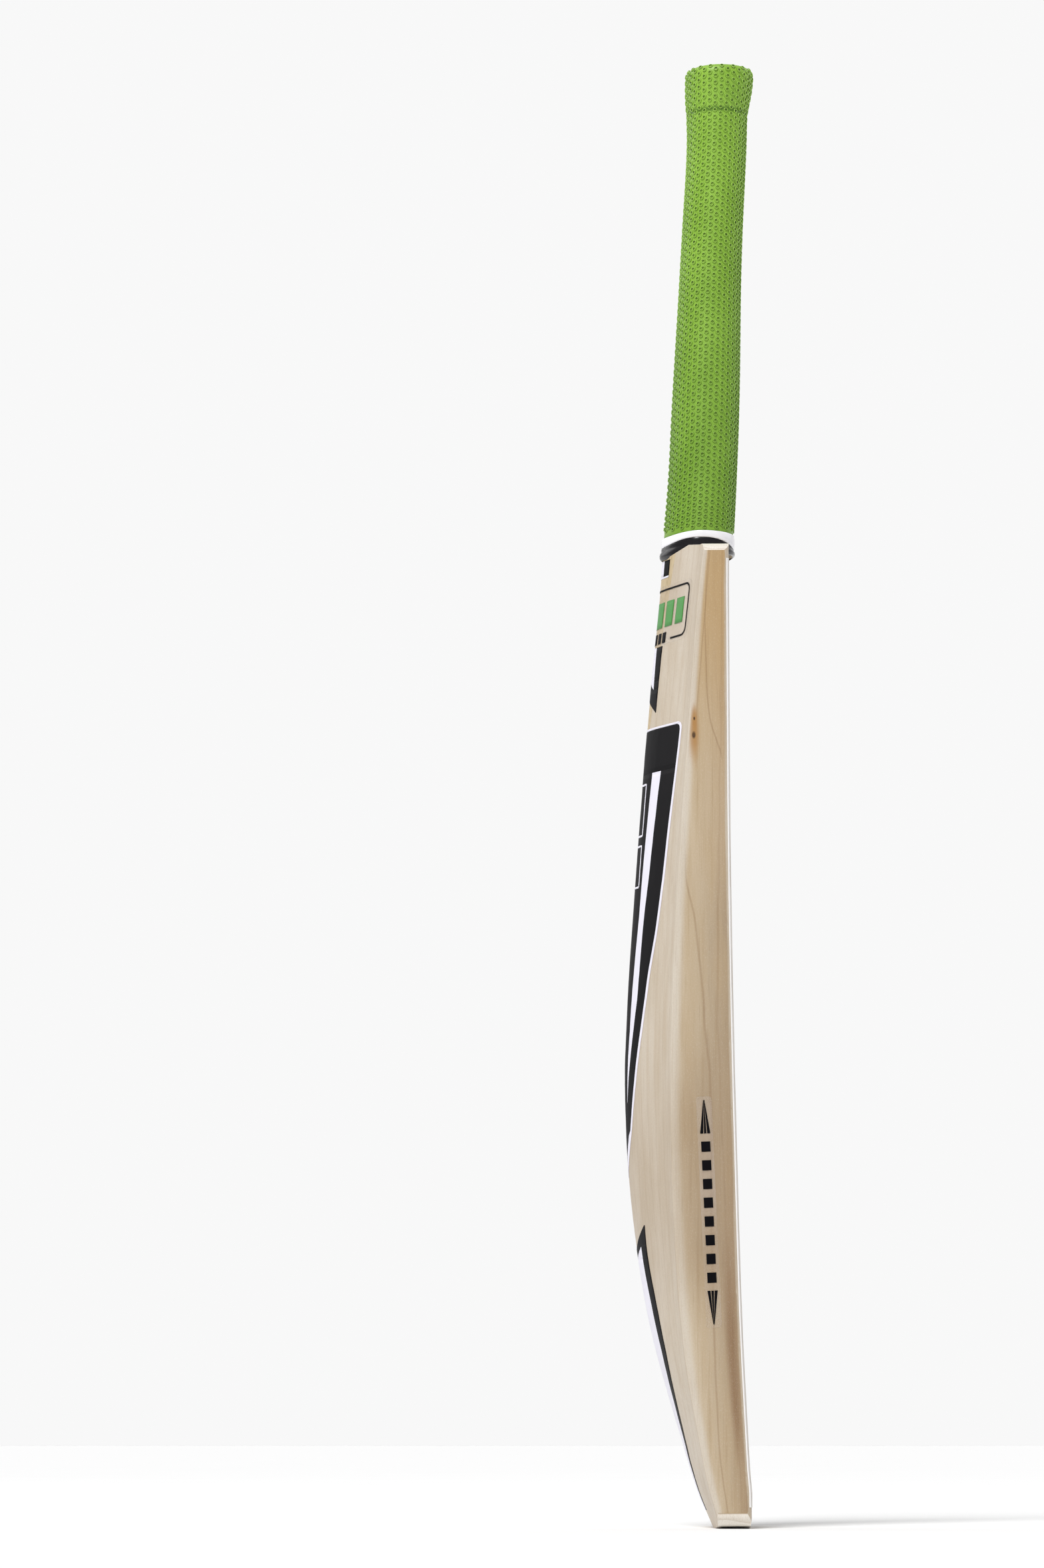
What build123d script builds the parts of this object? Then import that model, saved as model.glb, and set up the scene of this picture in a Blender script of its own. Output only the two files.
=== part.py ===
from build123d import *
import math
import os

# Cricket bat, short handle, full size, standing on its toe.
# Millimetres. X is the width, Y the thickness (hitting face toward -Y, spine toward +Y),
# Z runs up the bat. The origin is the middle of the flat on the toe.

# ---------------------------------------------------------------- driving dimensions
BAT_LENGTH = 857.0            # toe to the top of the grip
BLADE_LENGTH = 567.5          # toe to the top of the blade
BLADE_WIDTH = 108.0           # the widest the laws of the game allow
FACE_CROWN = 0.6              # how far the middle of the face stands in front of its sides
FACE_CORNER_R = 3.1           # rounding between face and edge
BACK_CORNER_R = 1.6           # rounding between edge and back

TOE_FLAT = 44.0               # width of the level part of the toe
TOE_RISE = 1.3                # lift of the toe where its corner rounding starts
TOE_CORNER_W = 9.0            # width of the toe corner rounding
TOE_CORNER_H = 9.0            # height at which the toe corner meets the edge
SHOULDER_CORNER_W = 8.5       # width of the shoulder rounding
SHOULDER_CORNER_H = 9.0       # how far below the top of the blade it meets the edge
SHOULDER_BACK_FALL = 18.0     # degrees the shoulder slopes down toward the back
SHOULDER_FALL = 4.3           # slope of the shoulder from the handle out to the rounding

SPLICE_LENGTH = 138.0         # depth of the V cut in the blade
SPLICE_TOP_HALF = 17.2        # half width of the V at the top of the blade
SPLICE_TIP_HALF = 2.2         # half width of the blunt tip of the V

CANE_MIDDLE_HALF = 5.3        # half width of the middle column of canes
SPRING_T = 1.8                # thickness of a rubber spring
SPRING_PITCH = 8.6            # spacing of the springs, front to back
SPRING_DEPTH = 45.0           # how far the springs reach down into the splice
HANDLE_LEAN = 2.55            # degrees the handle axis leans toward the face
CANE_RECESS = 1.2             # the cane ends sit this far below the rim of the grip

TWINE_T = 0.7                 # thickness of the twine whipping
GRIP_T = 1.9                  # thickness of the rubber grip over its rings
GRIP_BAND_T = 1.6             # extra thickness of the band at the top of the grip
GRIP_BAND_H = 26.0            # height of that band
GRIP_RIM_R = 3.0              # rounding at the top rim of the grip
BAND_H = 3.0                  # the black band reaches this far above the blade
BAND_LAP = 5.0                # and laps this far down over its spine and face
BAND_TILT = 4.0               # degrees its lower edge drops toward the spine
COLLAR_H = 5.5                # height of the white tape above it
TAPE_T = 0.35                 # thickness of both tapes

LABEL_T = 0.2                 # thickness of a sticker
FACING_T = 0.3                # thickness of the anti-scuff sheet
FACING_MARGIN = 0.5           # the sheet stops this far short of the edge
FACING_TOE = 12.0             # gap between the toe and the sheet
FACING_SHOULDER = 13.5        # gap between the top of the blade and the sheet

# Stations up the blade: share of its length, face, back end of the edge, spine, ridge.
# Ridge 0 is a plainly rounded back, 1 is a spine with scooped flanks.
BLADE = [
    (0.00, -10.1, 7.4, 10.4, 0.0),
    (0.01, -11.1, 8.8, 12.8, 0.0),
    (0.03, -11.2, 12.0, 17.8, 0.0),
    (0.06, -10.0, 16.2, 23.6, 0.1),
    (0.09, -9.1, 19.3, 28.5, 0.3),
    (0.14, -7.7, 24.4, 37.0, 0.5),
    (0.20, -6.2, 28.8, 45.9, 0.7),
    (0.27, -5.0, 31.8, 52.9, 0.9),
    (0.36, -3.8, 34.0, 58.5, 1.0),
    (0.45, -2.7, 34.5, 60.3, 1.0),
    (0.53, -1.9, 33.3, 58.7, 1.0),
    (0.62, -1.2, 30.9, 55.3, 1.0),
    (0.71, -0.8, 27.4, 51.5, 1.0),
    (0.80, -0.7, 23.7, 47.4, 1.1),
    (0.89, -0.7, 20.1, 42.6, 1.2),
    (0.94, -0.7, 17.6, 39.7, 1.3),
    (1.00, -0.9, 13.6, 37.0, 1.4),
]

# Stations up the handle, over the grip: share of its length, middle, half depth,
# half width, ridge.
HANDLE = [
    (0.00, 17.0, 20.9, 18.4, 1.0),
    (0.04, 16.2, 20.8, 18.3, 1.0),
    (0.13, 14.3, 20.3, 18.2, 0.8),
    (0.26, 12.4, 20.1, 18.0, 0.6),
    (0.40, 10.7, 19.4, 17.8, 0.4),
    (0.53, 9.2, 18.5, 17.7, 0.25),
    (0.70, 6.8, 17.9, 17.6, 0.1),
    (0.85, 4.6, 17.8, 17.6, 0.0),
    (1.00, 1.2, 17.7, 17.7, 0.0),
]

# ---------------------------------------------------------------- derived dimensions
HALF = BLADE_WIDTH / 2
HANDLE_LENGTH = BAT_LENGTH - BLADE_LENGTH
SKIN = TWINE_T + GRIP_T
BAND_TOP = BLADE_LENGTH + BAND_H
COLLAR_TOP = BAND_TOP + COLLAR_H
CANE_TOP = BAT_LENGTH - CANE_RECESS
TWINE_TOP = CANE_TOP - 1.5
SPLICE_TIP = BLADE_LENGTH - SPLICE_LENGTH
CUT = 200.0                   # reach of the blocks used only for cutting

os.makedirs("parts", exist_ok=True)


# ---------------------------------------------------------------- helpers
def between(table, share, column):
    """Smooth value of one column of a station table."""
    if share <= table[0][0]:
        return table[0][column]
    if share >= table[-1][0]:
        return table[-1][column]
    last = len(table) - 1
    low = max(n for n in range(last) if table[n][0] <= share)

    def chord(n):
        return (table[n + 1][column] - table[n][column]) / (table[n + 1][0] - table[n][0])

    def slope(n):
        if n == 0:
            return chord(0)
        if n == last:
            return chord(last - 1)
        if chord(n - 1) * chord(n) <= 0:
            return 0.0
        return 2 * chord(n - 1) * chord(n) / (chord(n - 1) + chord(n))

    step = table[low + 1][0] - table[low][0]
    t = (share - table[low][0]) / step
    return (
        table[low][column] * (2 * t**3 - 3 * t**2 + 1)
        + slope(low) * step * (t**3 - 2 * t**2 + t)
        + table[low + 1][column] * (3 * t**2 - 2 * t**3)
        + slope(low + 1) * step * (t**3 - t**2)
    )


def even_spline(points, periodic=False):
    """Spline with evenly numbered points, so that every section of a loft matches."""
    count = len(points) if periodic else len(points) - 1
    numbers = [n / count for n in range(count + 1)]
    return Edge.make_spline([Vector(*p) for p in points], periodic=periodic, parameters=numbers)


def back_share(share, ridge):
    """Height of the back, 1 on the spine and 0 at the edge."""
    inner = 2.0 - 0.5 * ridge
    outer = 1.0 + 0.4 * ridge
    return max(0.0, 1.0 - share**inner) ** outer


def blade_section(share, grow):
    """Outline of the blade at a share of its length, grown outward by a skin."""
    z = share * BLADE_LENGTH
    half = HALF + grow
    face = between(BLADE, share, 1) - grow
    foot = between(BLADE, share, 2) + grow
    spine = between(BLADE, share, 3) + grow
    ridge = between(BLADE, share, 4)
    rise = spine - foot
    fr = FACE_CORNER_R
    br = BACK_CORNER_R
    side = face + FACE_CROWN
    low = foot - br
    bend = 1 - math.cos(math.radians(45))

    def flank(s):
        return foot + rise * back_share(s, ridge)

    lip_share = (half - br) / half
    lip = flank(lip_share)
    steps = [lip_share, 0.88, 0.76, 0.62, 0.48, 0.34, 0.21, 0.1]
    right = [(half * s, flank(s), z) for s in steps]
    left = [(-x, y, z) for x, y, z in reversed(right)]
    mid = lip - (lip - low) * bend
    outline = [
        ThreePointArc((fr - half, side, z), (0, face, z), (half - fr, side, z)),
        ThreePointArc(
            (half - fr, side, z),
            (half - fr * bend, side + fr * bend, z),
            (half, side + fr, z),
        ),
        Line((half, side + fr, z), (half, low, z)),
        ThreePointArc((half, low, z), (half - br * bend, mid, z), right[0]),
        even_spline([*right, (0, spine, z), *left]),
        ThreePointArc(left[-1], (br * bend - half, mid, z), (-half, low, z)),
        Line((-half, low, z), (-half, side + fr, z)),
        ThreePointArc(
            (-half, side + fr, z),
            (fr * bend - half, side + fr * bend, z),
            (fr - half, side, z),
        ),
    ]
    return Face(Wire(outline))


def blade_body(grow):
    """Blade before its ends are shaped, grown outward by a skin."""
    shares = [0, 0.005, 0.01, 0.02, 0.03, 0.045, 0.06, 0.075, 0.09, 0.115, 0.14, 0.17]
    shares += [0.2, 0.235, 0.27, 0.31, 0.36, 0.405, 0.45, 0.49, 0.53, 0.575, 0.62]
    shares += [0.665, 0.71, 0.755, 0.8, 0.845, 0.89, 0.92, 0.94, 0.97, 1.0]
    return loft([blade_section(share, grow) for share in shares])


def handle_section(z, grow):
    """Outline of the handle at height z; grow 0 is over the grip."""
    share = (z - BLADE_LENGTH) / HANDLE_LENGTH
    middle = between(HANDLE, share, 1)
    depth = between(HANDLE, share, 2) + grow
    width = between(HANDLE, share, 3) + grow
    ridge = between(HANDLE, share, 4)
    points = []
    for n in range(32):
        c = math.cos(math.radians(n * 360 / 32))
        s = math.sin(math.radians(n * 360 / 32))
        power = 2.0 + 0.5 * ridge if s < 0 else 2.0 - 0.45 * ridge
        reach = (abs(c) ** power + abs(s) ** power) ** (-1 / power)
        points.append((width * reach * c, middle + depth * reach * s, z))
    return Face(Wire([even_spline(points, periodic=True)]))


def handle_body(grow, bottom, top):
    """Length of handle between two heights; grow 0 is over the grip."""
    heights = [BLADE_LENGTH + row[0] * HANDLE_LENGTH for row in HANDLE]
    inner = [z for z in heights if bottom + 6 < z < top - 6]
    return loft([handle_section(z, grow) for z in [bottom] + inner + [top]])


def block(x0, x1, y0, y1, z0, z1):
    """Plain block between two corners."""
    return Pos((x0 + x1) / 2, (y0 + y1) / 2, (z0 + z1) / 2) * Box(x1 - x0, y1 - y0, z1 - z0)


def slab(z0, z1):
    """Everything between two heights."""
    return block(-CUT, CUT, -CUT, CUT, z0, z1)


def prism(edges, y0, y1):
    """Prism through the thickness of the bat from edges drawn at y0."""
    return extrude(Face(Wire(edges)), amount=y1 - y0, dir=(0, 1, 0))


def panel(points, y0=2.0, y1=CUT):
    """Prism from a straight-sided outline of x, z points."""
    return prism(Polyline(*[(x, y0, z) for x, z in points], close=True).edges(), y0, y1)


def leaning(x0, x1, y0, y1):
    """Block that leans with the handle, measured from the middle of its foot."""
    lean = Pos(0, HANDLE[0][1], BLADE_LENGTH) * Rot(HANDLE_LEAN, 0, 0)
    return lean * block(x0, x1, y0, y1, -SPLICE_LENGTH - 60, HANDLE_LENGTH + 60)


def save(shape, name):
    """Write one piece."""
    shape.label = name
    export_step(shape, f"parts/{name}.step")


# ---------------------------------------------------------------- blade and splice
h = HALF
toe = TOE_FLAT / 2
top = BLADE_LENGTH
arch = 1 - math.cos(math.radians(45))
y_cut = -CUT
corner = h - TOE_CORNER_W
crest = h - SHOULDER_CORNER_W
corner_mid = (h - TOE_CORNER_W * arch, y_cut, TOE_RISE + (TOE_CORNER_H - TOE_RISE) * arch)
crest_drop = SHOULDER_FALL + (SHOULDER_CORNER_H - SHOULDER_FALL) * arch
crest_mid = (h - SHOULDER_CORNER_W * arch, y_cut, top - crest_drop)


def mirrored(point):
    """The same point on the other side of the bat."""
    return (-point[0], point[1], point[2])


half_outline = [
    (toe, y_cut, 0),
    ((toe + corner) / 2, y_cut, TOE_RISE * 0.3),
    (corner, y_cut, TOE_RISE),
    corner_mid,
    (h, y_cut, TOE_CORNER_H),
    (h + 12, y_cut, TOE_CORNER_H + 26),
    (h + 12, y_cut, top - SHOULDER_CORNER_H - 26),
    (h, y_cut, top - SHOULDER_CORNER_H),
    crest_mid,
    (crest, y_cut, top - SHOULDER_FALL),
    (SPLICE_TOP_HALF + 2, y_cut, top),
]


def side_edges(points):
    """Edges of one side of the face-on outline of the blade."""
    return [
        ThreePointArc(points[0], points[1], points[2]),
        ThreePointArc(points[2], points[3], points[4]),
        Line(points[4], points[5]),
        Line(points[5], points[6]),
        Line(points[6], points[7]),
        ThreePointArc(points[7], points[8], points[9]),
        Line(points[9], points[10]),
    ]


right_points = half_outline
left_points = [mirrored(point) for point in half_outline]
outline_edges = side_edges(right_points) + side_edges(left_points)
outline_edges.append(Line(left_points[0], right_points[0]))
outline_edges.append(Line(left_points[10], right_points[10]))

back_fall = Pos(0, HANDLE[0][1], top) * Rot(-SHOULDER_BACK_FALL, 0, 0)
blade_whole = blade_body(0) & prism(outline_edges, -CUT, CUT)
blade_whole = blade_whole - back_fall * block(-CUT, CUT, 0, CUT, 0, CUT)
splice = panel(
    [
        (-SPLICE_TIP_HALF, SPLICE_TIP),
        (SPLICE_TIP_HALF, SPLICE_TIP),
        (SPLICE_TOP_HALF, top),
        (SPLICE_TOP_HALF, top + 10),
        (-SPLICE_TOP_HALF, top + 10),
        (-SPLICE_TOP_HALF, top),
    ],
    -CUT,
)
save(blade_whole - splice, "blade")

# ---------------------------------------------------------------- handle core
foot = top - 2 * BAND_LAP
over_grip = handle_body(0, foot, BAT_LENGTH)
under_tape = handle_body(-TAPE_T, foot, COLLAR_TOP + 20)
over_twine = handle_body(-GRIP_T, top, BAT_LENGTH)
over_cane = handle_body(-SKIN, foot, BAT_LENGTH)
core = ((over_cane & slab(foot, CANE_TOP)) - blade_whole) + (blade_whole & splice)

spring_space = slab(top - SPRING_DEPTH, CANE_TOP)
springs = []
for name, place in [("front", -SPRING_PITCH), ("middle", 0.0), ("back", SPRING_PITCH)]:
    sheet = leaning(-CUT, CUT, place - SPRING_T / 2, place + SPRING_T / 2)
    spring = core & sheet & spring_space
    save(spring, f"rubber_spring_{name}")
    springs.append(spring)

layers = [
    ("front", -CUT, -SPRING_PITCH - SPRING_T / 2, None),
    ("mid_front", -SPRING_PITCH - SPRING_T / 2, -SPRING_T / 2, springs[0]),
    ("mid_back", -SPRING_T / 2, SPRING_PITCH - SPRING_T / 2, springs[1]),
    ("back", SPRING_PITCH - SPRING_T / 2, CUT, springs[2]),
]
columns = [
    ("left", -CUT, -CANE_MIDDLE_HALF),
    ("middle", -CANE_MIDDLE_HALF, CANE_MIDDLE_HALF),
    ("right", CANE_MIDDLE_HALF, CUT),
]
for layer, y0, y1, spring in layers:
    for column, x0, x1 in columns:
        cane = core & leaning(x0, x1, y0, y1)
        if spring is not None:
            cane = cane - spring
        save(cane, f"cane_{layer}_{column}")

# ---------------------------------------------------------------- twine, tapes and grip
twine = over_twine - over_cane
third = (TWINE_TOP - BAND_TOP) / 3
save(twine & slab(BAND_TOP, BAND_TOP + third), "twine_lower")
save(twine & slab(BAND_TOP + third, BAND_TOP + 2 * third), "twine_middle")
save(twine & slab(BAND_TOP + 2 * third, TWINE_TOP), "twine_upper")

band_edge = Pos(0, HANDLE[0][1], top - BAND_LAP) * Rot(-BAND_TILT, 0, 0)
band_space = slab(foot, BAND_TOP) & (band_edge * slab(0, CUT))
tape = over_grip - under_tape
save((under_tape & band_space) - blade_whole - core, "shoulder_whipping")
save((tape & band_space) - blade_whole, "shoulder_tape")
collar = tape & slab(BAND_TOP, COLLAR_TOP)
save(collar, "grip_collar_tape")

band = handle_body(GRIP_BAND_T, BAT_LENGTH - GRIP_BAND_H, BAT_LENGTH)
band = fillet(band.edges().group_by(Axis.Z)[-1], GRIP_RIM_R)
sleeve = (over_grip & slab(BAND_TOP, BAT_LENGTH - GRIP_BAND_H)) + band
save(sleeve - over_twine - collar, "grip")

# ---------------------------------------------------------------- facing and stickers
facing_space = block(
    FACING_MARGIN - h,
    h - FACING_MARGIN,
    -CUT,
    8.0,
    FACING_TOE,
    top - FACING_SHOULDER,
)
save((blade_body(FACING_T) & facing_space) - blade_body(0), "face_facing")

skin = blade_body(LABEL_T) - blade_body(0)

TAG_HALF = 11.4               # short bar just under the handle
TAG_HIGH = 7.5                # drops below the top of the blade
TAG_LOW = 16.5
tag = [
    (-TAG_HALF, top - TAG_LOW),
    (TAG_HALF, top - TAG_LOW),
    (TAG_HALF, top - TAG_HIGH),
    (-TAG_HALF, top - TAG_HIGH),
]
save(skin & panel(tag), "shoulder_tag_label")

FRAME_HALF = 41.0             # clear film with a printed frame
FRAME_LOW = 58.0
FRAME_HIGH = 22.5
FRAME_R = 5.0
frame_wire = RectangleRounded(2 * FRAME_HALF, FRAME_LOW - FRAME_HIGH, FRAME_R)
frame_plane = Plane((0, 2, top - (FRAME_LOW + FRAME_HIGH) / 2), x_dir=(1, 0, 0), z_dir=(0, -1, 0))
frame_prism = extrude(frame_plane * frame_wire, amount=-CUT)
save(skin & frame_prism, "frame_label")

STRIPE_HALF = 13.0            # bar below the frame, notched at its lower end
STRIPE_HIGH = 58.5
STRIPE_LOW = 98.0
STRIPE_NOTCH = 89.5
stripe = [
    (-STRIPE_HALF, top - STRIPE_HIGH),
    (-STRIPE_HALF, top - STRIPE_LOW),
    (0, top - STRIPE_NOTCH),
    (STRIPE_HALF, top - STRIPE_LOW),
    (STRIPE_HALF, top - STRIPE_HIGH),
]
save(skin & panel(stripe), "stripe_label")

# Long shield: drop of its top below the blade top, height of its tip above the toe.
SHIELD_TOP = 106.5
SHIELD_TIP = 200.0
SHIELD_HALF = 43.5
shield_h = top - SHIELD_TOP - SHIELD_TIP


def shield(x_share, z_share):
    """Point of the shield from shares of its half width and height."""
    return (x_share * SHIELD_HALF, 2, SHIELD_TIP + z_share * shield_h)


shield_right = [(1.0, 0.96), (0.96, 0.87), (0.90, 0.76), (0.855, 0.65), (0.77, 0.535)]
shield_right += [(0.655, 0.448), (0.54, 0.33), (0.41, 0.215), (0.25, 0.097), (0.0, 0.0)]
shield_edges = [
    Line(shield(-0.92, 1), shield(0.92, 1)),
    ThreePointArc(shield(0.92, 1), shield(0.976, 0.988), shield(1.0, 0.96)),
    ThreePointArc(shield(-0.92, 1), shield(-0.976, 0.988), shield(-1.0, 0.96)),
    Spline(*[shield(x, z) for x, z in shield_right]),
    Spline(*[shield(-x, z) for x, z in shield_right]),
]
save(skin & prism(shield_edges, 2, CUT), "main_back_label")

# Panel over the toe: outline of x, z points up one side, with a notch on the spine.
TOE_PANEL = [(17.0, 9.0), (20.5, 44.0), (24.0, 70.0), (25.5, 100.0), (23.0, 122.0)]
TOE_PANEL += [(18.5, 150.0), (18.0, 160.0), (19.0, 172.0)]
TOE_NOTCH = 158.0
toe_right = [(x, 2, z) for x, z in TOE_PANEL]
toe_left = [mirrored(point) for point in toe_right]
toe_edges = [
    Spline(*toe_right),
    Spline(*toe_left),
    Line(toe_left[0], toe_right[0]),
    Line(toe_right[-1], (0, 2, TOE_NOTCH)),
    Line((0, 2, TOE_NOTCH), toe_left[-1]),
]
save(skin & prism(toe_edges, 2, CUT), "toe_back_label")

EDGE_LABEL_W = 8.8            # narrow sticker along the edge
EDGE_LABEL_L = 131.0
EDGE_LABEL_R = 1.5
EDGE_LABEL_Y = 12.9
EDGE_LABEL_Z = 178.0
EDGE_LABEL_TILT = 2.4
edge_plane = Plane((-h, EDGE_LABEL_Y, EDGE_LABEL_Z), x_dir=(0, -1, 0), z_dir=(-1, 0, 0))
edge_shape = Rot(0, 0, EDGE_LABEL_TILT) * RectangleRounded(EDGE_LABEL_W, EDGE_LABEL_L, EDGE_LABEL_R)
save(extrude(edge_plane * edge_shape, amount=LABEL_T), "edge_label")
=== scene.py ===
# Cricket bat: English willow blade, spliced cane handle, ringed rubber grip.
# Metres throughout; sizes are given in millimetres and multiplied by MM.
import bisect
import math

import bpy
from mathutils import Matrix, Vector
from mathutils.bvhtree import BVHTree


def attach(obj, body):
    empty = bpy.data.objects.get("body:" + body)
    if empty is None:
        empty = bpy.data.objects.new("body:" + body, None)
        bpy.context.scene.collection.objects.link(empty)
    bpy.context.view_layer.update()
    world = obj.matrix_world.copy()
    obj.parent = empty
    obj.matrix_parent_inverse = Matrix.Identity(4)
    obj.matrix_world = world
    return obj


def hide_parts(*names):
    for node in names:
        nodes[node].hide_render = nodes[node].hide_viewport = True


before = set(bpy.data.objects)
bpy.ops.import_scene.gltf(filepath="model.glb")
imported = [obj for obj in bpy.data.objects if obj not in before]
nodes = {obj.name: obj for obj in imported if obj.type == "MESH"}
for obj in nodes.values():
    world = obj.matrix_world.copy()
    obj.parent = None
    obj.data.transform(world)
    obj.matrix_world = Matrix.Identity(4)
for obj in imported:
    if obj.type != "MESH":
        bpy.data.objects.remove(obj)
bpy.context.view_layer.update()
MM = 0.001

# ------------------------------------------------------------------ sizes, in millimetres
EDGE_X = 54.0                   # half width of the blade
BLADE_TOP = 567.5               # toe to the top of the blade

RING_PITCH = 4.05               # spacing of the grip's rings up the handle
RING_PITCH_LOW = 2.95           # closer where the sleeve is rolled down onto the blade
RING_COLUMNS = 34               # columns of rings round the handle, every other one staggered
RING_HEIGHT = 0.72              # how far a ring stands above the sheet
BAND_FOOT = 829.0               # height of the crease under the rolled top band
RIM_R = 5.0                     # rounding of the top rim
RIM_TOP = 856.2                 # highest point of the rim
SHEET_FOOT = 577.0              # the rubber sheet is level above this height
# section of one ring: radius, height over the sheet, painted shade from 0 to 1 (darkest at the
# ring's foot and deep in its pit, where shade falls)
RING_SECTION = ((1.42, -0.08, 0.50), (1.30, 0.50, 0.12), (1.06, 0.74, 0.0),
                (0.82, 0.62, 0.20), (0.74, -0.10, 1.0))
RING_CORNERS = 9                # sides of one ring

LABEL_LIFT = 0.2                # thickness of a sticker
PRINT_LIFT = 0.30               # a print on a clear film stands this far off the wood
KEYLINE = 1.3                   # white line round the black panels
GROWTH_LINE = 7.5               # spacing of the growth lines across the willow
TWINE_TURN = 0.8                # width of one turn of twine


# ------------------------------------------------------------------ material helpers
def linear(code):
    """Linear colour of an sRGB hex value."""
    def channel(text):
        value = int(text, 16) / 255
        return value / 12.92 if value <= 0.04045 else ((value + 0.055) / 1.055) ** 2.4
    return tuple(channel(code[i:i + 2]) for i in (1, 3, 5)) + (1.0,)


def add(tree, kind, inputs=None, **settings):
    """One node with its settings; inputs maps a socket to a value or to an output."""
    made = tree.nodes.new("ShaderNode" + kind)
    for name, value in settings.items():
        setattr(made, name, value)
    for socket, value in (inputs or {}).items():
        if isinstance(value, bpy.types.NodeSocket):
            tree.links.new(value, made.inputs[socket])
        else:
            made.inputs[socket].default_value = value
    return made


def finish_named(name):
    """Empty material: its tree, its shader and the millimetre coordinates of the bat."""
    material = bpy.data.materials.new(name)
    material.use_nodes = True
    tree = material.node_tree
    tree.nodes.clear()
    shader = add(tree, "BsdfPrincipled")
    output = add(tree, "OutputMaterial", {"Surface": shader.outputs[0]})
    output.target = "ALL"
    place = add(tree, "TexCoord").outputs["Object"]
    place = add(tree, "VectorMath", {0: place, 3: 1 / MM}, operation="SCALE").outputs[0]
    return material, tree, shader, place


def math_of(tree, operation, *values, clamp=False):
    """Output of one sum."""
    inputs = dict(enumerate(values))
    return add(tree, "Math", inputs, operation=operation, use_clamp=clamp).outputs[0]


def product(tree, *values):
    """Output of several factors multiplied together."""
    result = values[0]
    for value in values[1:]:
        result = math_of(tree, "MULTIPLY", result, value)
    return result


def rest_of(tree, value):
    """1 minus a share."""
    return math_of(tree, "SUBTRACT", 1.0, value)


def size_of(tree, value):
    """A value without its sign."""
    return math_of(tree, "ABSOLUTE", value)


def axes_of(tree, vector):
    """The three components of a vector."""
    return add(tree, "SeparateXYZ", {0: vector}).outputs


def ramp(tree, value, low, high):
    """0 below low, 1 above high, smooth between."""
    made = add(
        tree, "MapRange", {"Value": value, "From Min": low, "From Max": high},
        interpolation_type="SMOOTHSTEP",
    )
    return made.outputs[0]


def blend(tree, factor, a, b, kind="MIX"):
    """Colour mix; a and b are hex values or outputs."""
    made = add(tree, "Mix", {"Factor": factor}, data_type="RGBA", blend_type=kind)
    for socket, colour in ((6, a), (7, b)):
        if isinstance(colour, str):
            made.inputs[socket].default_value = linear(colour)
        else:
            tree.links.new(colour, made.inputs[socket])
    return made.outputs[2]


def stretched(tree, place, scale, detail=3.0, rough=0.55):
    """Noise whose grain is 1/scale millimetres on each axis."""
    where = add(tree, "VectorMath", {0: place, 1: scale}, operation="MULTIPLY").outputs[0]
    inputs = {"Vector": where, "Scale": 1.0, "Detail": detail, "Roughness": rough}
    return add(tree, "TexNoise", inputs).outputs[0]


def curve_of(tree, value, points):
    """Smooth curve through (value, result) points, both scaled into 0 to 1 by the caller."""
    made = add(tree, "FloatCurve", {"Value": value})
    line = made.mapping.curves[0]
    line.points[0].location = points[0]
    line.points[1].location = points[-1]
    for point in points[1:-1]:
        line.points.new(*point)
    made.mapping.update()
    return made.outputs[0]


# ------------------------------------------------------------------ materials
def sapwood(tree, place, x):
    """Nearly white wood with a faint growth line every few millimetres of the width."""
    # growth layers stand across the width and wander slowly along the blade
    drift = stretched(tree, place, (0.012, 0.02, 0.0035), 2.0)
    layer = math_of(tree, "MULTIPLY_ADD", drift, 14.0, x)
    beat = math_of(tree, "FRACT", math_of(tree, "DIVIDE", layer, GROWTH_LINE))
    late_wood = math_of(tree, "POWER", beat, 9.0)
    streak = stretched(tree, place, (0.35, 0.35, 0.012), 3.0)
    cloud = stretched(tree, place, (0.045, 0.07, 0.012), 3.0, 0.6)
    pale = blend(tree, ramp(tree, cloud, 0.35, 0.7), "#CDC1B0", "#C2B39E")
    pale = blend(tree, product(tree, late_wood, 0.30), pale, "#A68C6A")
    pale = blend(tree, product(tree, ramp(tree, streak, 0.45, 0.75), 0.25), pale, "#B8A07F")
    return pale, beat, streak, cloud


# The edge of the blade, as shares up it: where its face side and its back side lie.
# A share becomes a depth by y = share * EDGE_SPAN + EDGE_START.
FACE_SIDE = ((0, 0.06), (0.03, 0.038), (0.09, 0.08), (0.2, 0.138), (0.36, 0.186),
             (0.53, 0.224), (0.71, 0.246), (1, 0.244))
BACK_SIDE = ((0, 0.316), (0.03, 0.408), (0.06, 0.492), (0.09, 0.554), (0.14, 0.656),
             (0.2, 0.744), (0.27, 0.804), (0.36, 0.848), (0.45, 0.858), (0.53, 0.834),
             (0.62, 0.786), (0.71, 0.716), (0.8, 0.642), (0.89, 0.57), (0.94, 0.52), (1, 0.44))
EDGE_SPAN, EDGE_START = 50.0, -10.0

# Growth lines that run out of the edge: their course as shares up and across it,
# the heights over which each fades in, and its strength.
EDGE_LINES = (
    (((0, 0.69), (0.026, 0.67), (0.184, 0.47), (0.30, 0.39), (0.423, 0.354),
      (0.486, 0.41), (0.60, 0.63), (0.70, 0.98), (1, 1)), -9.0, 0.0, 0.33),
    (((0, 0.07), (0.765, 0.05), (0.774, 0.10), (0.79, 0.24), (0.815, 0.45),
      (0.88, 0.66), (0.95, 0.80), (1, 0.82)), 434.0, 444.0, 0.38),
    (((0, 0.9), (0.74, 0.93), (0.80, 0.86), (0.88, 0.80), (0.95, 0.76), (1, 0.75)),
     440.0, 462.0, 0.34),
    (((0, 0.18), (0.3, 0.14), (0.5, 0.20), (0.8, 0.12), (1, 0.1)), -9.0, 0.0, 0.16),
)

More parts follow.
